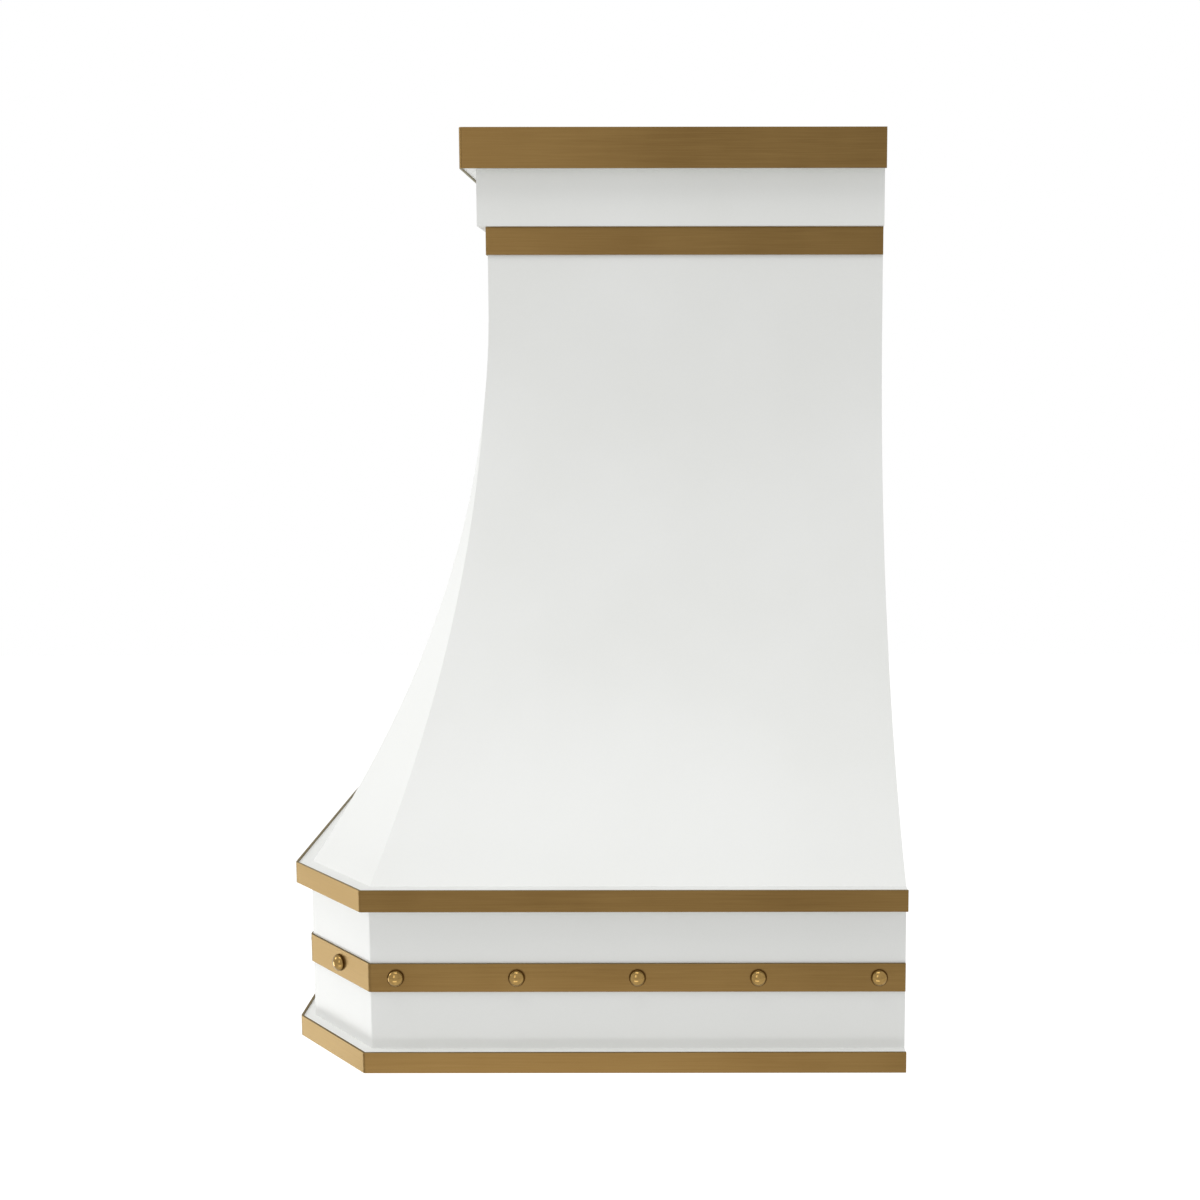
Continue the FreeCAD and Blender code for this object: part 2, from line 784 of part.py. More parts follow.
def damper_flap(side, knuckle_starts):
    """Half disc with two knuckles on the pin; side is -1 for the front flap, 1 for the rear one."""
    radius = collar_radius - collar_sheet - damper_gap
    near = knuckle_radius + 2 * pivot_gap
    leaf = disc(radius, 0, duct_y, damper_z - damper_sheet / 2, damper_sheet)
    ends = sorted((duct_y + side * near, duct_y + side * radius))
    half = block(-radius, radius, ends[0], ends[1], damper_z - damper_sheet, damper_z + damper_sheet)
    leaf = leaf.common(half)
    solids = [leaf]
    for x in knuckle_starts:
        web = sorted((duct_y, duct_y + side * 2 * near))
        solids.append(rod(knuckle_radius, x, x + knuckle_length, duct_y, damper_z))
        solids.append(block(x, x + knuckle_length, web[0], web[1],
                            damper_z - damper_sheet / 2, damper_z + damper_sheet / 2))
    return joined(*solids).cut(rod(damper_pin_radius + pivot_gap, -radius, radius, duct_y, damper_z))


def duct_pipe():
    """Round pipe with a lock seam and a stop bead, drawn in at the top to a spigot for the next duct."""
    spigot_z = pipe_top - spigot_length
    taper_z = spigot_z - spigot_taper
    bead_top = taper_z - bead_gap
    bead_z = bead_top - bead_width
    bead = [(0, bead_z), (bead_height, bead_z + bead_height),
            (bead_height, bead_top - bead_height), (0, bead_top)]
    outline = [(pipe_inner, pipe_z), (pipe_outer, pipe_z)] + [(pipe_outer + out, z) for out, z in bead]
    outline += [(pipe_outer, taper_z), (spigot_outer, spigot_z), (spigot_outer, pipe_top),
                (spigot_inner, pipe_top), (spigot_inner, spigot_z), (pipe_inner, taper_z)]
    outline += [(pipe_inner + out, z) for out, z in reversed(bead)]
    points = [V(radius, duct_y, z) for radius, z in outline]
    pipe = Part.Face(Part.Wire(polygon(points))).revolve(V(0, duct_y, 0), V(0, 0, 1), 360)
    seam_z = pipe_z + pipe_lap
    seam = tube(pipe_outer + pipe_sheet, pipe_inner, seam_z, bead_z - seam_z)
    strip = block(-seam_width / 2, seam_width / 2, duct_y, duct_y + 2 * pipe_outer, seam_z, bead_z)
    return joined(pipe, seam.common(strip))


def hexagon(radius, x, y, z, height):
    """A hexagonal head or nut that lies along the depth of the hood."""
    angles = [math.radians(60 * number) for number in range(6)]
    points = [V(x + radius * math.cos(angle), y, z + radius * math.sin(angle)) for angle in angles]
    return plate(polygon(points), V(0, height, 0))


def duct_clamp():
    """Split band round the pipe, drawn tight by one bolt through its two lugs."""
    inner = pipe_outer + shaft_gap
    outer = inner + clamp_sheet
    z = pipe_z + (pipe_lap - clamp_height) / 2
    band = tube(outer, inner, z, clamp_height)
    lug_half = 2 * clamp_sheet
    lugs = block(outer - clamp_sheet, outer + clamp_lug, duct_y - lug_half, duct_y + lug_half,
                 z, z + clamp_height)
    slit = block(inner - clamp_sheet, outer + clamp_lug, duct_y - clamp_sheet / 2, duct_y + clamp_sheet / 2,
                 z, z + clamp_height)
    clamp = joined(band, lugs).cut(slit).cut(disc(inner, 0, duct_y, z, clamp_height))
    bolt_x = outer + clamp_lug / 2
    bolt_z = z + clamp_height / 2
    reach = lug_half + clamp_head
    bolt = Part.makeCylinder(clamp_bolt_radius, 2 * reach, V(bolt_x, duct_y - reach, bolt_z), V(0, 1, 0))
    head = hexagon(clamp_head_radius, bolt_x, duct_y - reach, bolt_z, clamp_head)
    nut = hexagon(clamp_head_radius, bolt_x, duct_y + lug_half, bolt_z, clamp_head)
    return joined(clamp, bolt, head, nut)


# Lamps
def light_bezels():
    rings = []
    for x in lamp_places():
        outer = lamp_radius + bezel_width
        taper = bezel_height / 2
        foot = V(x, strip_y, deck_z - bezel_height)
        ring = Part.makeCone(outer - taper, outer, bezel_height, foot)
        throat = Part.makeCone(lamp_radius, lamp_radius - taper, bezel_height, foot)
        rings.append(ring.cut(throat))
    return Part.makeCompound(rings)


def light_lenses():
    radius = lamp_radius - seat_gap
    return Part.makeCompound([disc(radius, x, strip_y, deck_z, lens_height) for x in lamp_places()])


def light_cans():
    """Finned lamp bodies that stand on the liner's deck over the lenses."""
    radius = lamp_radius + bezel_width / 2
    z = deck_top
    step = can_height / (2 * can_fins + 1)
    cans = []
    for x in lamp_places():
        can = disc(radius, x, strip_y, z, can_height)
        for number in range(can_fins):
            low = z + step * (2 * number + 2) - step / 2
            groove = disc(radius, x, strip_y, low, step)
            can = can.cut(groove.cut(disc(radius - bezel_width, x, strip_y, low, step)))
        cans.append(can.cut(disc(lamp_radius, x, strip_y, z, lens_height)))
    return Part.makeCompound(cans)


# Push buttons and their panel
def control_panel():
    panel = block(-panel_length / 2, panel_length / 2, strip_y - panel_width / 2, strip_y + panel_width / 2,
                  panel_z, deck_z)
    corners = [edge for edge in panel.Edges if abs(edge.tangentAt(0).z) > 0.5]
    panel = panel.makeFillet(panel_corner, corners)
    for x in button_places():
        panel = panel.cut(disc(button_radius + pivot_gap, x, strip_y, panel_z, panel_sheet))
    return panel


def push_button(x):
    cap = disc(button_radius, x, strip_y, panel_z - button_reach, button_reach + panel_sheet + seat_gap)
    cap = cap.makeFillet(button_round, [cap.Edges[-1]])
    collar = disc(button_radius + button_collar, x, strip_y, deck_z + seat_gap, button_collar_height)
    return joined(cap, collar)


def switch_block():
    """Moulded housing on the deck; its hollow takes the buttons' collars and their travel."""
    inner_half = button_places()[-1] + button_radius + button_collar + block_wall
    inner_side = button_radius + button_collar + block_wall
    outer_half = inner_half + block_wall
    outer_side = inner_side + block_wall
    body = block(-outer_half, outer_half, strip_y - outer_side, strip_y + outer_side,
                 deck_top, deck_top + block_height)
    room = button_travel + button_collar_height + 2 * seat_gap
    return body.cut(block(-inner_half, inner_half, strip_y - inner_side, strip_y + inner_side,
                          deck_top, deck_top + room))


# Wiring box
def wiring_box():
    x0, x1 = wiring_x, wiring_x + wiring_length
    y0, y1 = wiring_y, wiring_y + wiring_width
    top = plenum_top + wiring_height
    box = block(x0, x1, y0, y1, plenum_top, top)
    box = box.cut(block(x0 + wiring_sheet, x1 - wiring_sheet, y0 + wiring_sheet, y1 - wiring_sheet,
                        plenum_top + wiring_sheet, top))
    return box.cut(bushing_rod(bushing_bore + bushing_wall, wiring_sheet))


def bushing_rod(radius, length):
    wall = wiring_y + wiring_width - wiring_sheet
    centre = V(wiring_x + wiring_length / 2, wall, plenum_top + wiring_height / 2)
    return Part.makeCylinder(radius, length, centre, V(0, 1, 0))


def wiring_lid():
    top = plenum_top + wiring_height
    lid = block(wiring_x, wiring_x + wiring_length, wiring_y, wiring_y + wiring_width,
                top, top + wiring_sheet)
    corners = [edge for edge in lid.Edges if abs(edge.tangentAt(0).z) > 0.5]
    return lid.makeFillet(2 * wiring_sheet, corners)


def cable_bushing():
    sleeve = bushing_rod(bushing_bore + bushing_wall - seat_gap, bushing_length)
    flange = bushing_rod(bushing_bore + bushing_wall + bushing_flange, bushing_flange)
    flange.translate(V(0, wiring_sheet, 0))
    return joined(sleeve, flange).cut(bushing_rod(bushing_bore, bushing_length))


def build():
    trim_inner_bend = trim_bend - brass
    rim_inset = rim_setback + brass
    soffit = frieze_inset - brass + sheet + lap
    rail_bay = crown_width / 2 - frieze_inset - sheet
    rim_reach = rim_inset + rim_return
    rail_floor = frieze_z + sheet
    pieces = {
        "canopy": canopy(),
        "upper_shelf": channel(skirt_line, brass, shelf_soffit_z, shelf_ledge_z,
                               shelf_flange, shelf_flange, trim_inner_bend),
        "upper_trim": wrap(skirt_line, 0, brass, upper_trim_z, upper_trim_height, trim_bend),
        "skirt": wrap(skirt_line, skirt_inset, sheet, rim_ledge_z,
                      shelf_soffit_z - rim_ledge_z, skirt_bend),
        "rivet_strap": wrap(skirt_line, skirt_inset - brass, brass, strap_z,
                            strap_height, skirt_bend + brass),
        "rivets": rivets(),
        "bottom_rim": channel(skirt_line, rim_inset, 0, rim_ledge_z,
                              rim_return, skirt_inset - rim_inset + lap, trim_inner_bend),
        "bottom_trim": wrap(skirt_line, rim_setback, brass, 0, bottom_trim_height, trim_bend),
        "neck_strap": wrap(crown_line, neck_inset - brass, brass, neck_z, neck_strap_height, brass),
        "frieze": joined(wrap(crown_line, frieze_inset, sheet, frieze_z, crown_soffit_z - frieze_z),
                         wrap(crown_line, frieze_inset, neck_step + sheet + lap, frieze_z, sheet)),
        "crown": channel(crown_line, brass, crown_soffit_z, crown_top_z,
                         soffit, crown_flange, trim_inner_bend),
        "crown_band": wrap(crown_line, 0, brass, crown_z, crown_band_height, trim_bend),
        "wall_rail_upper": wall_rail(rail_bay, rail_floor, rail_flange),
        "wall_rail_lower": wall_rail(half_width - rim_reach, 0, rim_reach),
        "liner_pan": liner_pan(),
        "filter_clips": filter_clips(),
        "plenum": plenum(),
        "blower_box": blower_box(),
        "scroll_wrap": scroll_wrap(),
        "scroll_side_left": scroll_side(-1),
        "scroll_side_right": scroll_side(1),
        "motor": motor(),
        "motor_bracket": motor_bracket(),
        "motor_shaft": fan_rod(shaft_radius, motor_front_x - motor_length / 2 + seat_gap,
                               hub_half_length),
        "impeller_wheel": impeller_wheel(),
        "impeller_hub": impeller_hub(),
        "duct_collar": duct_collar(),
        "damper_pin": damper_pin(),
        "damper_seal": damper_seal(),
        "duct_pipe": duct_pipe(),
        "duct_clamp": duct_clamp(),
        "light_bezels": light_bezels(),
        "light_lenses": light_lenses(),
        "light_cans": light_cans(),
        "control_panel": control_panel(),
        "switch_block": switch_block(),
        "wiring_box": wiring_box(),
        "wiring_lid": wiring_lid(),
        "cable_bushing": cable_bushing(),
    }
    wide = knuckle_length + knuckle_space
    outer_knuckles = [-2 * wide - knuckle_space / 2, wide + knuckle_space]
    inner_knuckles = [-wide, knuckle_space]
    pieces["damper_flap_front"] = damper_flap(-1, outer_knuckles)
    pieces["damper_flap_rear"] = damper_flap(1, inner_knuckles)
    for number, x in enumerate(filter_places(), 1):
        pieces[f"filter_{number}_frame"] = filter_frame(x)
        pieces[f"filter_{number}_baffles"] = filter_baffles(x)
        pieces[f"filter_{number}_handle"] = filter_bail(x)
    for name, x in zip(button_names, button_places()):
        pieces[f"{name}_button"] = push_button(x)
    return pieces


os.makedirs("parts", exist_ok=True)
for node, shape in build().items():
    shape.exportStep(f"parts/{node}.step")
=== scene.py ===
"""Looks of a wall-hung range hood: finishes, small fasteners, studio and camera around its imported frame."""
import collections
import json
import math

import bmesh
import bpy
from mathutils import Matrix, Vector


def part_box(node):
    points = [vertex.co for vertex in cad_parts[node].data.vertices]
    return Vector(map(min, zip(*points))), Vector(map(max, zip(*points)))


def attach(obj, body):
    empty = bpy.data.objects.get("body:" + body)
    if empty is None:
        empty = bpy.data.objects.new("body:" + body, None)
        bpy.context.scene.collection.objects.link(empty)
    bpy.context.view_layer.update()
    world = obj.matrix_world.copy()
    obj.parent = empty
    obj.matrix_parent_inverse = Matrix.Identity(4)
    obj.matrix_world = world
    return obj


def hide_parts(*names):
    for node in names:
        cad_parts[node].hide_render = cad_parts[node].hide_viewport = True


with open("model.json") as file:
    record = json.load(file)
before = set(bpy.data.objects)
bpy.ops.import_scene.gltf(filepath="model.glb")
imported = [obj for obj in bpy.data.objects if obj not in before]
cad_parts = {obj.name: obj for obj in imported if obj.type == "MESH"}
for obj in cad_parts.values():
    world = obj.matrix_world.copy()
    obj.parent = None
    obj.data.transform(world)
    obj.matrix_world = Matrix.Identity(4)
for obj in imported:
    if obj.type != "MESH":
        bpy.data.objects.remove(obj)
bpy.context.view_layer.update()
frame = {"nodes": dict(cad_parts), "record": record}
nodes = frame["nodes"]
MM = 0.001

# Photograph: frame width, focal length and optical centre in its pixels, and where its camera stood
photo_pixels = 1200.0
focal_pixels = 1435.07
centre_column = 697.81
centre_row = 516.78
camera_place = Vector((1759.2, -196.63, 652.63)) * MM
camera_pitch = math.radians(-5.42)
camera_roll = math.radians(0.06)
film_width = 36.0

# Studio: the floor lies low, so that the hood can be seen from below. floor_lift is the glow that turns what is
# seen of the floor white, and room_light is how strongly the room lights the hood.
floor_drop = 2400.0 * MM
floor_half = 14000.0 * MM
floor_lift = 0.62
room_light = 0.585
white = (1.0, 1.0, 1.0, 1.0)
# Softboxes, all turned to one point: place, width and height in metres, and power in watts
lamp_target = Vector((0.0, -260.0, 430.0)) * MM
softboxes = {
    "front_softbox": ((-0.1, -2.6, -0.75), 0.7, 0.9, 9.2),
    "fill_softbox": ((0.2, -3.2, 1.4), 1.0, 1.0, 11.5),
    "corner_softbox": ((3.1, -1.3, 1.3), 0.9, 1.4, 6.5),
    "top_softbox": ((0.8, -0.6, 3.2), 2.0, 2.0, 31.0),
    "low_softbox": ((2.6, -0.8, -1.3), 1.8, 0.6, 6.2),
}

# Rivet domes and pan-head screws; a face that rises more than curve_slope belongs to a head's curve
rivet_radius = 8.2 * MM
rivet_height = 6.5 * MM
screw_radius = 3.8 * MM
screw_height = 2.2 * MM
recess_width = 1.1 * MM
dome_segments = 28
dome_rings = 14
curve_slope = 0.02
# Where the screws stand: in from an edge, along the middle of the blower box flange, and along the liner deck
screw_edge = 9.0 * MM
flange_middle = 7.0 * MM
flange_sheet = 1.0 * MM
flange_screws = 5
deck_inset = 60.0 * MM
deck_screws = 3
up = (0.0, 0.0, 1.0)
down = (0.0, 0.0, -1.0)
# Points of a CAD mesh that are this close are one, and normals that agree to this many digits are the same
merge_gap = 0.002 * MM
normal_digits = 3

# Noise mostly lies between these two values
noise_low = 0.3
noise_high = 0.7
# Numbers of a Mix node's colour sockets, whose names its other sockets share
mix_first = 6
mix_second = 7
mix_result = 2


def colour(code):
    """Linear colour of an sRGB hex value."""
    parts = [int(code[at:at + 2], 16) / 255 for at in (1, 3, 5)]
    return (*[c / 12.92 if c <= 0.04045 else ((c + 0.055) / 1.055) ** 2.4 for c in parts], 1.0)


def per_metre(size_mm):
    """How often a pattern of that size fits in one metre, which is a texture's scale."""
    return 1000.0 / size_mm


def add(tree, kind, settings, sockets):
    """Adds one node; a socket gets a value, or the output that feeds it."""
    node = tree.nodes.new(kind)
    for name, value in settings.items():
        setattr(node, name, value)
    for name, value in sockets.items():
        if isinstance(value, bpy.types.NodeSocket):
            tree.links.new(value, node.inputs[name])
        else:
            node.inputs[name].default_value = value
    return node


def empty_tree(owner):
    """The node tree of a material or world, with nothing in it."""
    owner.use_nodes = True
    owner.node_tree.nodes.clear()
    return owner.node_tree


# Finishes
def finish(name, dark, light, rough, grain, depth, cloud, share, tangent=None, **shader):
    """A finish made of one fine and one broad pattern.

    dark and light bound its colour and rough its roughness. grain is the fine pattern's size along X, Y and Z,
    depth its relief and cloud the broad pattern's size, in millimetres; share is the fine pattern's part in the
    colour. tangent is the axis that brushed lines run round, and the rest are the shader's own constants."""
    material = bpy.data.materials.new(name)
    tree = empty_tree(material)
    where = add(tree, "ShaderNodeTexCoord", {}, {}).outputs["Object"]
    drawn = add(tree, "ShaderNodeMapping", {}, {"Vector": where, "Scale": [per_metre(size) for size in grain]})
    fine = add(tree, "ShaderNodeTexNoise", {}, {"Vector": drawn.outputs["Vector"], "Scale": 1.0,
                                                "Detail": 4.0, "Roughness": 0.6}).outputs["Fac"]
    broad = add(tree, "ShaderNodeTexNoise", {}, {"Vector": where, "Scale": per_metre(cloud),
                                                 "Detail": 3.0}).outputs["Fac"]
    both = add(tree, "ShaderNodeMix", {}, {"Factor": share, "A": broad, "B": fine}).outputs["Result"]
    span = {"Value": both, "From Min": noise_low, "From Max": noise_high}
    level = add(tree, "ShaderNodeMapRange", {}, span)
    tint = add(tree, "ShaderNodeMix", {"data_type": "RGBA"},
               {"Factor": level.outputs["Result"], mix_first: colour(dark), mix_second: colour(light)})
    gloss = add(tree, "ShaderNodeMapRange", {}, {**span, "To Min": rough[0], "To Max": rough[1]})
    relief = add(tree, "ShaderNodeBump", {}, {"Height": fine, "Distance": depth * MM})
    sockets = {"Base Color": tint.outputs[mix_result], "Roughness": gloss.outputs["Result"],
               "Normal": relief.outputs["Normal"], **shader}
    if tangent:
        around = add(tree, "ShaderNodeTangent", {"direction_type": "RADIAL", "axis": tangent}, {})
        sockets["Tangent"] = around.outputs["Tangent"]
    body = add(tree, "ShaderNodeBsdfPrincipled", {}, sockets)
    add(tree, "ShaderNodeOutputMaterial", {}, {"Surface": body.outputs["BSDF"]})
    return material


def galvanised_steel(dark="#A3A6A8", light="#B4B7B9", rough=(0.36, 0.46), crystal_size=9.0, sway_size=14.0,
                     sway_reach=12.0, ripple_size=3.0, ripple_depth=0.01):
    """Hot-dip zinc on steel sheet: flat grey crystals about a centimetre across, each turned its own way.

    The sizes are in millimetres: the crystals, the sway of their borders, and the fine ripple of the zinc."""
    material = bpy.data.materials.new("galvanised_steel")
    tree = empty_tree(material)
    where = add(tree, "ShaderNodeTexCoord", {}, {}).outputs["Object"]
    sway = add(tree, "ShaderNodeTexNoise", {}, {"Vector": where, "Scale": per_metre(sway_size)})
    warped = add(tree, "ShaderNodeVectorMath", {"operation": "MULTIPLY_ADD"},
                 {0: sway.outputs["Color"], 1: [sway_reach * MM] * 3, 2: where})
    crystal = add(tree, "ShaderNodeTexVoronoi", {}, {"Vector": warped.outputs[0],
                                                     "Scale": per_metre(crystal_size)})
    face = add(tree, "ShaderNodeSeparateColor", {}, {"Color": crystal.outputs["Color"]})
    tint = add(tree, "ShaderNodeMix", {"data_type": "RGBA"},
               {"Factor": face.outputs["Red"], mix_first: colour(dark), mix_second: colour(light)})
    gloss = add(tree, "ShaderNodeMapRange", {}, {"Value": face.outputs["Green"], "To Min": rough[0],
                                                 "To Max": rough[1]})
    ripple = add(tree, "ShaderNodeTexNoise", {}, {"Vector": where, "Scale": per_metre(ripple_size)})
    relief = add(tree, "ShaderNodeBump", {}, {"Height": ripple.outputs["Fac"], "Distance": ripple_depth * MM})
    body = add(tree, "ShaderNodeBsdfPrincipled", {},
               {"Base Color": tint.outputs[mix_result], "Roughness": gloss.outputs["Result"],
                "Normal": relief.outputs["Normal"], "Metallic": 1.0})
    add(tree, "ShaderNodeOutputMaterial", {}, {"Surface": body.outputs["BSDF"]})
    return material


# Belt lines are some 0.1 mm wide; they are drawn about 1 mm wide here so that they show from a step away
band_lines = (70.0, 70.0, 1.1)
cross_lines = (90.0, 1.3, 1.3)
deep_lines = (1.3, 90.0, 1.3)
# Shader constants that finishes share
brushed = {"Metallic": 1.0, "Anisotropic": 0.55}
bare = {"Metallic": 1.0}
dull = {"IOR": 1.5}
# Seen at a slant, brass mirrors a little less red than face on
brass_slant = {"Specular Tint": colour("#F7FFF5")}
finishes = {
    # Polyester powder coat, sprayed and baked: an even satin white with a fine orange peel
    "white_paint": finish("satin_white_powder_coat", "#F0F1EE", "#F6F7F5", rough=(0.36, 0.46),
                          grain=(2.4, 2.4, 2.4), depth=0.012, cloud=220.0, share=0.2, **dull),
    # Brass strip drawn under an abrasive belt: long fine lines that spread light across themselves
    "brushed_brass": finish("brushed_brass", "#68502D", "#7C633B", rough=(0.27, 0.39), grain=band_lines,
                            depth=0.02, cloud=130.0, share=0.5, tangent="Z", **brushed, **brass_slant),
    # Turned brass heads, buffed: a clear reflection with faint wiping marks
    "polished_brass": finish("polished_brass", "#86693B", "#A38652", rough=(0.06, 0.14),
                             grain=(4.0, 4.0, 4.0), depth=0.002, cloud=30.0, share=0.6, **bare),
    # Stainless sheet with belt lines across the hood
    "stainless": finish("brushed_stainless", "#9E9E9B", "#B9B9B6", rough=(0.25, 0.37), grain=cross_lines,
                        depth=0.02, cloud=110.0, share=0.5, tangent="Y", **brushed),
    # Zinc coated sheet
    "galvanised": galvanised_steel(),
    # Cast and rolled aluminium as it leaves the mill: a soft grey sheen
    "aluminium": finish("mill_aluminium", "#A9ABAD", "#C2C3C4", rough=(0.32, 0.46),
                        grain=(2.5, 2.5, 2.5), depth=0.01, cloud=60.0, share=0.6, **bare),
    # Centreless ground rod: bright, with marks too fine to see one by one
    "bright_steel": finish("ground_steel", "#A6A6A4", "#BEBEBC", rough=(0.18, 0.3),
                           grain=(1.2, 1.2, 1.2), depth=0.005, cloud=40.0, share=0.6, **bare),
    # Dipped black enamel on a motor can: thick, glossy and a little uneven
    "motor_enamel": finish("black_enamel", "#17181A", "#222326", rough=(0.28, 0.4),
                           grain=(3.0, 3.0, 3.0), depth=0.02, cloud=40.0, share=0.3, **dull),
    # Moulded sealing rubber: dull and dusty
    "seal_rubber": finish("black_rubber", "#161616", "#222222", rough=(0.62, 0.78),
                          grain=(0.9, 0.9, 0.9), depth=0.03, cloud=40.0, share=0.3, **dull),
    # Moulded ABS with a spark-eroded grain
    "black_plastic": finish("black_abs_plastic", "#1B1B1C", "#262627", rough=(0.45, 0.6),
                            grain=(0.8, 0.8, 0.8), depth=0.02, cloud=40.0, share=0.3, **dull),
    # Acid-etched lamp glass: it passes light but blurs what lies behind
    "lens_glass": finish("frosted_glass", "#EDEBE2", "#F8F7F1", rough=(0.42, 0.58), grain=(0.9, 0.9, 0.9),
                         depth=0.02, cloud=30.0, share=0.5, **dull, **{"Transmission Weight": 0.6}),
    # Stainless caps faced on a lathe
    "button_steel": finish("turned_stainless", "#A2A29F", "#BDBDBA", rough=(0.2, 0.3),
                           grain=(1.3, 1.3, 1.3), depth=0.01, cloud=20.0, share=0.6, tangent="Z", **brushed),
}
# The baffles are folded from the same sheet, with its lines along the channels
baffle_steel = finish("brushed_stainless_channels", "#9A9A97", "#B4B4B1", rough=(0.25, 0.37), grain=deep_lines,
                      depth=0.02, cloud=110.0, share=0.5, tangent="X", **brushed)
# The shelf has the same powder coat, painted a shade greyer: painted shade for the lesser light that falls on
# its flat top
shelf_coat_painted_shade = finish("satin_white_powder_coat_painted_shade", "#E4E5E2", "#EAEBE9", rough=(0.4, 0.5),
                    grain=(2.4, 2.4, 2.4), depth=0.012, cloud=220.0, share=0.2, **dull)
own_finish = {f"filter_{number}_baffles": baffle_steel for number in (1, 2, 3)}
# The shelf's flat top takes the greyer coat, which is painted shade
own_finish["upper_shelf"] = shelf_coat_painted_shade
for row in frame["record"]["subparts"]:
    material = own_finish.get(row["node"], finishes[row["material_slot"]])
    nodes[row["node"]].material_slots[0].material = material


# Small fasteners
def stud_tree(name, labels, make_head):
    """A tree that stands one head on each point, turned along the axis stored there; labels name its sizes."""
    tree = bpy.data.node_groups.new(name, "GeometryNodeTree")
    tree.interface.new_socket("Places", in_out="INPUT", socket_type="NodeSocketGeometry")
    for label in labels:
        tree.interface.new_socket(label, in_out="INPUT", socket_type="NodeSocketFloat")
    tree.interface.new_socket("Finish", in_out="INPUT", socket_type="NodeSocketMaterial")
    tree.interface.new_socket("Heads", in_out="OUTPUT", socket_type="NodeSocketGeometry")
    given = add(tree, "NodeGroupInput", {}, {}).outputs
    head = make_head(tree, given)
    normal = add(tree, "GeometryNodeInputNormal", {}, {})
    upright = add(tree, "ShaderNodeSeparateXYZ", {}, {"Vector": normal.outputs["Normal"]})
    curve = add(tree, "FunctionNodeCompare", {}, {"A": upright.outputs["Z"], "B": curve_slope})
    smooth = add(tree, "GeometryNodeSetShadeSmooth", {},
                 {"Geometry": head, "Selection": curve.outputs["Result"]})
    axis = add(tree, "GeometryNodeInputNamedAttribute", {"data_type": "FLOAT_VECTOR"}, {"Name": "axis"})
    turn = add(tree, "FunctionNodeAlignRotationToVector", {"axis": "Z"}, {"Vector": axis.outputs["Attribute"]})
    stood = add(tree, "GeometryNodeInstanceOnPoints", {},
                {"Points": given["Places"], "Instance": smooth.outputs["Geometry"],
                 "Rotation": turn.outputs["Rotation"]})
    real = add(tree, "GeometryNodeRealizeInstances", {}, {"Geometry": stood.outputs["Instances"]})
    done = add(tree, "GeometryNodeSetMaterial", {}, {"Geometry": real.outputs["Geometry"],
                                                     "Material": given["Finish"]})
    add(tree, "NodeGroupOutput", {}, {"Heads": done.outputs["Geometry"]})
    return tree


def dome_head(tree, given):
    """A flattened ball whose lower half is pressed flat to make the foot."""
    ball = add(tree, "GeometryNodeMeshUVSphere", {}, {"Segments": dome_segments, "Rings": dome_rings,
                                                      "Radius": 1.0})
    place = add(tree, "GeometryNodeInputPosition", {}, {})
    apart = add(tree, "ShaderNodeSeparateXYZ", {}, {"Vector": place.outputs["Position"]}).outputs
    above = add(tree, "ShaderNodeMath", {"operation": "MAXIMUM"}, {0: apart["Z"], 1: 0.0})
    pressed = add(tree, "ShaderNodeCombineXYZ", {}, {"X": apart["X"], "Y": apart["Y"], "Z": above.outputs[0]})
    half = add(tree, "GeometryNodeSetPosition", {}, {"Geometry": ball.outputs["Mesh"],
                                                     "Position": pressed.outputs[0]})
    stretch = add(tree, "ShaderNodeCombineXYZ", {}, {"X": given["Radius"], "Y": given["Radius"],
                                                     "Z": given["Height"]})
    return add(tree, "GeometryNodeTransform", {}, {"Geometry": half.outputs["Geometry"],
                                                   "Scale": stretch.outputs[0]}).outputs["Geometry"]


def screw_head(tree, given):
    """A pan head with a cross recess half as deep as the head."""
    cut = add(tree, "GeometryNodeMeshBoolean", {"operation": "DIFFERENCE"}, {"Mesh 1": dome_head(tree, given)})
    for along, across in (("Radius", "Recess"), ("Recess", "Radius")):
        size = add(tree, "ShaderNodeCombineXYZ", {}, {"X": given[along], "Y": given[across],
                                                      "Z": given["Height"]})
        bar = add(tree, "GeometryNodeMeshCube", {}, {"Size": size.outputs[0]})
        lift = add(tree, "ShaderNodeCombineXYZ", {}, {"Z": given["Height"]})
        raised = add(tree, "GeometryNodeTransform", {}, {"Geometry": bar.outputs["Mesh"],
                                                         "Translation": lift.outputs[0]})
        tree.links.new(raised.outputs["Geometry"], cut.inputs["Mesh 2"])
    return cut.outputs["Mesh"]


def stand_heads(name, make_head, places, slot, **sizes):
    """One mesh of all the heads of a kind, on the hood itself."""
    mesh = bpy.data.meshes.new(name)
    mesh.from_pydata([place for place, axis in places], [], [])
    stored = mesh.attributes.new("axis", "FLOAT_VECTOR", "POINT")
    for item, (place, axis) in zip(stored.data, places):
        item.vector = axis
    piece = bpy.data.objects.new(name, mesh)
    bpy.context.scene.collection.objects.link(piece)
    tree = stud_tree(name, sizes, make_head)
    modifier = piece.modifiers.new(name, "NODES")
    modifier.node_group = tree
    sockets = {item.name: item.identifier for item in tree.interface.items_tree}
    for label, value in sizes.items():
        modifier[sockets[label]] = value
    modifier[sockets["Finish"]] = finishes[slot]
    graph = bpy.context.evaluated_depsgraph_get()
    result = bpy.data.meshes.new_from_object(piece.evaluated_get(graph))
    piece.modifiers.remove(modifier)
    piece.data = result
    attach(piece, "hood")
    return piece


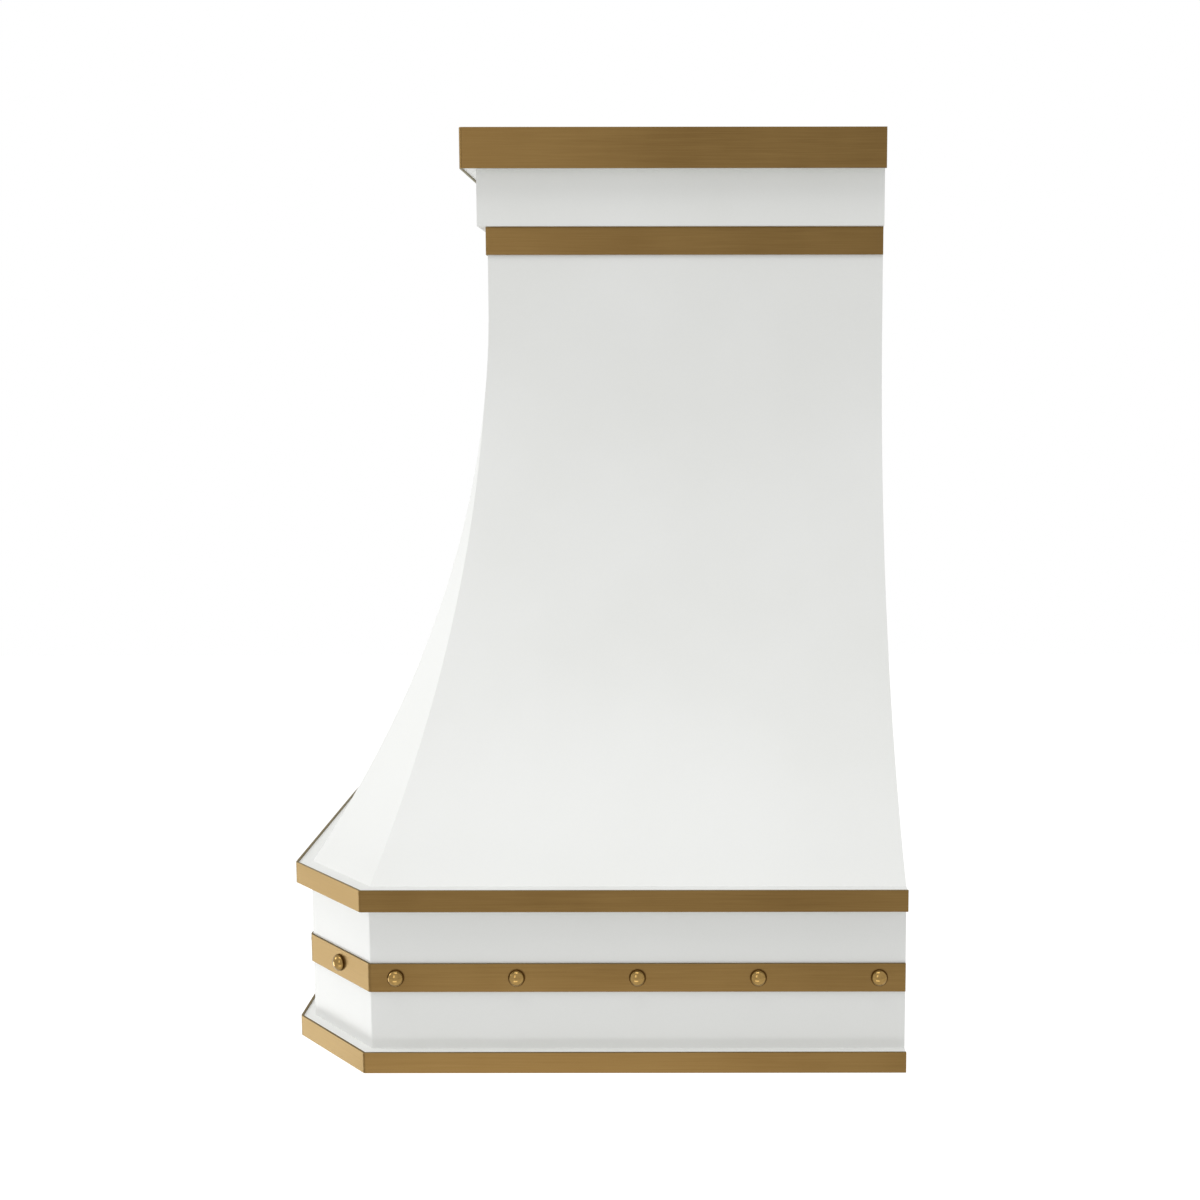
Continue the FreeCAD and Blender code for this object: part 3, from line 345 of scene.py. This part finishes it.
def flat_feet(node):
    """Centre of the flat foot and outward axis of each separate solid of a node."""
    work = bmesh.new()
    work.from_mesh(nodes[node].data)
    bmesh.ops.remove_doubles(work, verts=work.verts, dist=merge_gap)
    seen = set()
    places = []
    for first in work.verts:
        if first in seen:
            continue
        seen.add(first)
        island = [first]
        for vert in island:
            for edge in vert.link_edges:
                other = edge.other_vert(vert)
                if other not in seen:
                    seen.add(other)
                    island.append(other)
        facing = collections.defaultdict(list)
        for face in dict.fromkeys(face for vert in island for face in vert.link_faces):
            facing[tuple(round(part, normal_digits) for part in face.normal)].append(face)
        foot = max(facing, key=lambda normal: len(facing[normal]))
        rim = dict.fromkeys(vert for face in facing[foot] for vert in face.verts)
        centre = sum((vert.co for vert in rim), Vector()) / len(rim)
        places.append((centre, -Vector(foot)))
    work.free()
    return places


def spread(start, end, count):
    """That many numbers, evenly spaced from start to end."""
    return [start + (end - start) * number / (count - 1) for number in range(count)]


def corner_places(node, height):
    """Four places near the corners of a node's box, at that height and pointing up."""
    low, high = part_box(node)
    columns = (low.x + screw_edge, high.x - screw_edge)
    rows = (low.y + screw_edge, high.y - screw_edge)
    return [(Vector((x, y, height)), up) for x in columns for y in rows]


def screw_places():
    """Place and axis of each screw of the wiring lid, duct collar, control panel, blower box and liner deck."""
    lid_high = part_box("wiring_lid")[1]
    box_low, box_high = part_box("blower_box")
    panel_low, panel_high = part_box("control_panel")
    first_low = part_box("filter_1_frame")[0]
    last_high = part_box("filter_3_frame")[1]
    places = corner_places("wiring_lid", lid_high.z)
    places += corner_places("duct_collar", box_high.z + flange_sheet)
    for x in (panel_low.x + screw_edge, panel_high.x - screw_edge):
        places.append((Vector((x, (panel_low.y + panel_high.y) / 2, panel_low.z)), down))
    columns = spread(box_low.x + flange_middle, box_high.x - flange_middle, flange_screws)
    rows = spread(box_low.y + flange_middle, box_high.y - flange_middle, flange_screws)
    flange = [(x, y) for x in columns for y in (rows[0], rows[-1])]
    flange += [(x, y) for y in rows[1:-1] for x in (columns[0], columns[-1])]
    places += [(Vector((x, y, box_low.z + flange_sheet)), up) for x, y in flange]
    for y in spread(first_low.y + deck_inset, last_high.y - deck_inset, deck_screws):
        for x in (first_low.x - screw_edge, last_high.x + screw_edge):
            places.append((Vector((x, y, panel_high.z)), down))
    return places


rivets = stand_heads("dome_rivets", dome_head, flat_feet("rivets"), "polished_brass",
                     Radius=rivet_radius, Height=rivet_height)
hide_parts("rivets")
stand_heads("pan_head_screws", screw_head, screw_places(), "bright_steel",
            Radius=screw_radius, Height=screw_height, Recess=recess_width)


# Stage
def seen_directly(tree):
    """1 for what the camera sees, also in metal and through glass, and 0 for light that falls on the object."""
    rays = add(tree, "ShaderNodeLightPath", {}, {}).outputs
    mirrored = add(tree, "ShaderNodeMath", {"operation": "ADD"},
                   {0: rays["Is Glossy Ray"], 1: rays["Is Transmission Ray"]})
    return add(tree, "ShaderNodeMath", {"operation": "ADD", "use_clamp": True},
               {0: rays["Is Camera Ray"], 1: mirrored.outputs[0]}).outputs[0]


def pale_card():
    """Matt pale card; what is seen of it is lifted to white, and its shadow stays."""
    material = bpy.data.materials.new("pale_card")
    tree = empty_tree(material)
    glow = add(tree, "ShaderNodeMath", {"operation": "MULTIPLY"}, {0: seen_directly(tree), 1: floor_lift})
    body = add(tree, "ShaderNodeBsdfPrincipled", {},
               {"Base Color": colour("#ECECEA"), "Roughness": 0.9, "Emission Color": white,
                "Emission Strength": glow.outputs[0]})
    add(tree, "ShaderNodeOutputMaterial", {}, {"Surface": body.outputs["BSDF"]})
    return material


def lay_floor():
    """One wide sheet of card below the hood."""
    mesh = bpy.data.meshes.new("floor")
    corners = [(x * floor_half, y * floor_half, -floor_drop) for x, y in ((-1, -1), (1, -1), (1, 1), (-1, 1))]
    mesh.from_pydata(corners, [], [(0, 1, 2, 3)])
    mesh.materials.append(pale_card())
    floor = bpy.data.objects.new("floor", mesh)
    bpy.context.scene.collection.objects.link(floor)


def light_room():
    """An even white room: its light on the object is set apart from the white that the camera sees."""
    world = bpy.data.worlds.new("white_room")
    tree = empty_tree(world)
    strength = add(tree, "ShaderNodeMapRange", {}, {"Value": seen_directly(tree), "To Min": room_light,
                                                    "To Max": 1.0})
    room = add(tree, "ShaderNodeBackground", {}, {"Color": white, "Strength": strength.outputs[0]})
    add(tree, "ShaderNodeOutputWorld", {}, {"Surface": room.outputs[0]})
    bpy.context.scene.world = world


def hang_softboxes():
    """The lamps of the table above, each turned to the hood."""
    for name, (place, width, height, watts) in softboxes.items():
        lamp = bpy.data.lights.new(name, "AREA")
        lamp.shape = "RECTANGLE"
        lamp.size = width
        lamp.size_y = height
        lamp.energy = watts
        box = bpy.data.objects.new(name, lamp)
        box.location = place
        box.rotation_euler = (lamp_target - Vector(place)).to_track_quat("-Z", "Y").to_euler()
        bpy.context.scene.collection.objects.link(box)


def set_camera():
    """The photograph's camera; the shift puts its optical centre where the photograph has it."""
    lens = bpy.data.cameras.new("camera")
    lens.sensor_width = film_width
    lens.lens = film_width * focal_pixels / photo_pixels
    lens.shift_x = (photo_pixels / 2 - centre_column) / photo_pixels
    lens.shift_y = (centre_row - photo_pixels / 2) / photo_pixels
    camera = bpy.data.objects.new("camera", lens)
    camera.location = camera_place
    camera.rotation_euler = (math.radians(90.0) + camera_pitch, camera_roll, math.radians(90.0))
    bpy.context.scene.collection.objects.link(camera)
    bpy.context.scene.camera = camera


lay_floor()
light_room()
hang_softboxes()
set_camera()
bpy.context.scene.view_settings.view_transform = "Standard"
